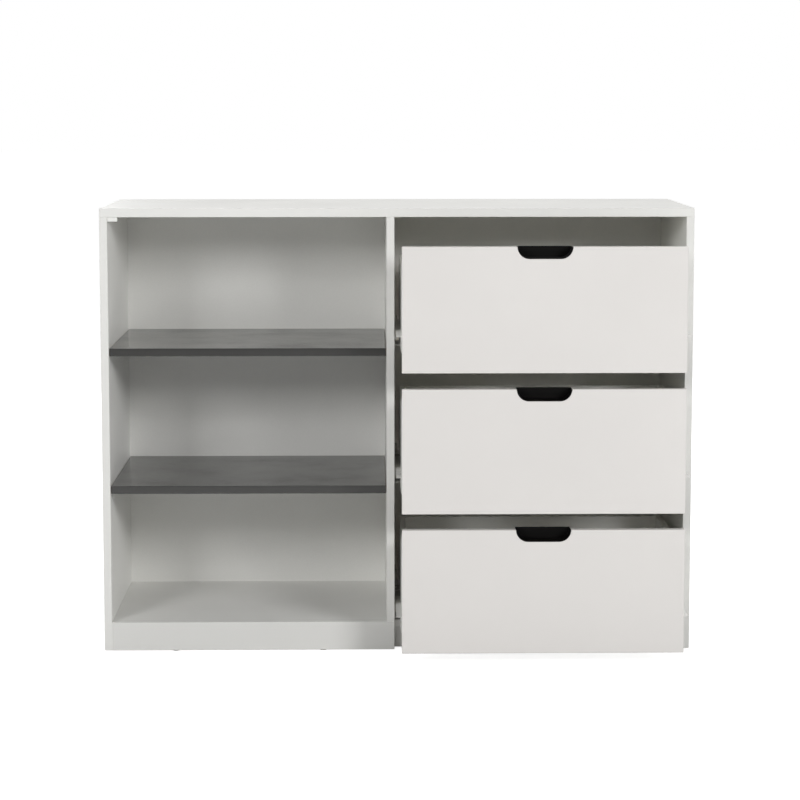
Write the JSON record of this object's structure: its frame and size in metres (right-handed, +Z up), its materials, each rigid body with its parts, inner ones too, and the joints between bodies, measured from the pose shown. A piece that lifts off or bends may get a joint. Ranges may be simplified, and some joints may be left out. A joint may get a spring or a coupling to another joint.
{
  "type": "sideboard",
  "caption": "White sideboard with an open bay with dark shelves and a stack of inset drawers with finger notches, on roller slides.",
  "frame": {"origin": "middle of the footprint on the floor, with the drawers standing open as stored", "axes": "+X along the width to the drawers' side, front faces -Y, +Z up"},
  "size_m": [1.2, 0.525, 0.908],
  "materials": {
    "white_board": "white melamine foil, satin",
    "white_plinth": "white foil and edge band, satin",
    "white_front": "white melamine foil, satin",
    "dark_shelf": "anthracite melamine foil, satin",
    "white_hardboard": "white lacquered hardboard",
    "white_steel": "white epoxy coat",
    "white_plastic": "moulded, fine grain",
    "roller_nylon": "moulded nylon",
    "black_plastic": "moulded, fine grain",
    "zinc_steel": "zinc plated",
    "beech": "bare, fluted dowel stock",
    "grey_plastic": "moulded"
  },
  "bodies": {
    "root": {"top_panel": "white_board", "left_side_panel": "white_board", "right_side_panel": "white_board", "centre_divider": "white_board", "bottom_panel": "white_board", "left_plinth": "white_plinth", "right_plinth": "white_plinth", "rear_rail": "white_plinth", "centre_support": "white_plinth", "left_back_panel": "white_hardboard", "right_back_panel": "white_hardboard", "upper_shelf": "dark_shelf", "lower_shelf": "dark_shelf", "shelf_pins": "zinc_steel", "corner_blocks": "white_plastic", "wood_dowels": "beech", "cam_housings": "zinc_steel", "cam_bolts": "zinc_steel", "carcass_screws": "zinc_steel", "back_nails": "zinc_steel", "floor_glides": "grey_plastic", "bottom_cabinet_rail_left": "white_steel", "bottom_cabinet_rail_right": "white_steel", "middle_cabinet_rail_left": "white_steel", "middle_cabinet_rail_right": "white_steel", "top_cabinet_rail_left": "white_steel", "top_cabinet_rail_right": "white_steel"},
    "bottom_drawer": {"bottom_drawer_front": "white_front", "bottom_drawer_left_side": "white_board", "bottom_drawer_right_side": "white_board", "bottom_drawer_back": "white_board", "bottom_drawer_base": "white_hardboard", "bottom_drawer_pull_liner": "black_plastic", "bottom_drawer_left_rail": "white_steel", "bottom_drawer_right_rail": "white_steel", "bottom_drawer_fixings": "zinc_steel"},
    "bottom_front_rollers": {"bottom_cabinet_rollers": "roller_nylon"},
    "bottom_rear_rollers": {"bottom_drawer_rollers": "roller_nylon"},
    "middle_drawer": {"middle_drawer_front": "white_front", "middle_drawer_left_side": "white_board", "middle_drawer_right_side": "white_board", "middle_drawer_back": "white_board", "middle_drawer_base": "white_hardboard", "middle_drawer_pull_liner": "black_plastic", "middle_drawer_left_rail": "white_steel", "middle_drawer_right_rail": "white_steel", "middle_drawer_fixings": "zinc_steel"},
    "middle_front_rollers": {"middle_cabinet_rollers": "roller_nylon"},
    "middle_rear_rollers": {"middle_drawer_rollers": "roller_nylon"},
    "top_drawer": {"top_drawer_front": "white_front", "top_drawer_left_side": "white_board", "top_drawer_right_side": "white_board", "top_drawer_back": "white_board", "top_drawer_base": "white_hardboard", "top_drawer_pull_liner": "black_plastic", "top_drawer_left_rail": "white_steel", "top_drawer_right_rail": "white_steel", "top_drawer_fixings": "zinc_steel"},
    "top_front_rollers": {"top_cabinet_rollers": "roller_nylon"},
    "top_rear_rollers": {"top_drawer_rollers": "roller_nylon"}
  },
  "joints": [
    {"name": "bottom_drawer_slide", "type": "slide", "parent": "root", "child": "bottom_drawer", "axis": [0, -1, 0], "range_m": [-0.125, 0.165]},
    {"name": "bottom_front_roller_spin", "type": "hinge", "parent": "root", "child": "bottom_front_rollers", "pos_m": [0.289, -0.1075, 0.083], "axis": [1, 0, 0], "continuous": true},
    {"name": "bottom_rear_roller_spin", "type": "hinge", "parent": "bottom_drawer", "child": "bottom_rear_rollers", "pos_m": [0.289, 0.0895, 0.0775], "axis": [1, 0, 0], "continuous": true},
    {"name": "middle_drawer_slide", "type": "slide", "parent": "root", "child": "middle_drawer", "axis": [0, -1, 0], "range_m": [-0.125, 0.165]},
    {"name": "middle_front_roller_spin", "type": "hinge", "parent": "root", "child": "middle_front_rollers", "pos_m": [0.289, -0.1075, 0.365], "axis": [1, 0, 0], "continuous": true},
    {"name": "middle_rear_roller_spin", "type": "hinge", "parent": "middle_drawer", "child": "middle_rear_rollers", "pos_m": [0.289, 0.0895, 0.3595], "axis": [1, 0, 0], "continuous": true},
    {"name": "top_drawer_slide", "type": "slide", "parent": "root", "child": "top_drawer", "axis": [0, -1, 0], "range_m": [-0.125, 0.165]},
    {"name": "top_front_roller_spin", "type": "hinge", "parent": "root", "child": "top_front_rollers", "pos_m": [0.289, -0.1075, 0.647], "axis": [1, 0, 0], "continuous": true},
    {"name": "top_rear_roller_spin", "type": "hinge", "parent": "top_drawer", "child": "top_rear_rollers", "pos_m": [0.289, 0.0895, 0.6415], "axis": [1, 0, 0], "continuous": true}
  ],
  "couplings": [
    {"joint": "bottom_front_roller_spin", "follows": "bottom_drawer_slide", "rad_per_m": 90.909},
    {"joint": "bottom_rear_roller_spin", "follows": "bottom_drawer_slide", "rad_per_m": 83.333},
    {"joint": "middle_front_roller_spin", "follows": "middle_drawer_slide", "rad_per_m": 90.909},
    {"joint": "middle_rear_roller_spin", "follows": "middle_drawer_slide", "rad_per_m": 83.333},
    {"joint": "top_front_roller_spin", "follows": "top_drawer_slide", "rad_per_m": 90.909},
    {"joint": "top_rear_roller_spin", "follows": "top_drawer_slide", "rad_per_m": 83.333}
  ]
}
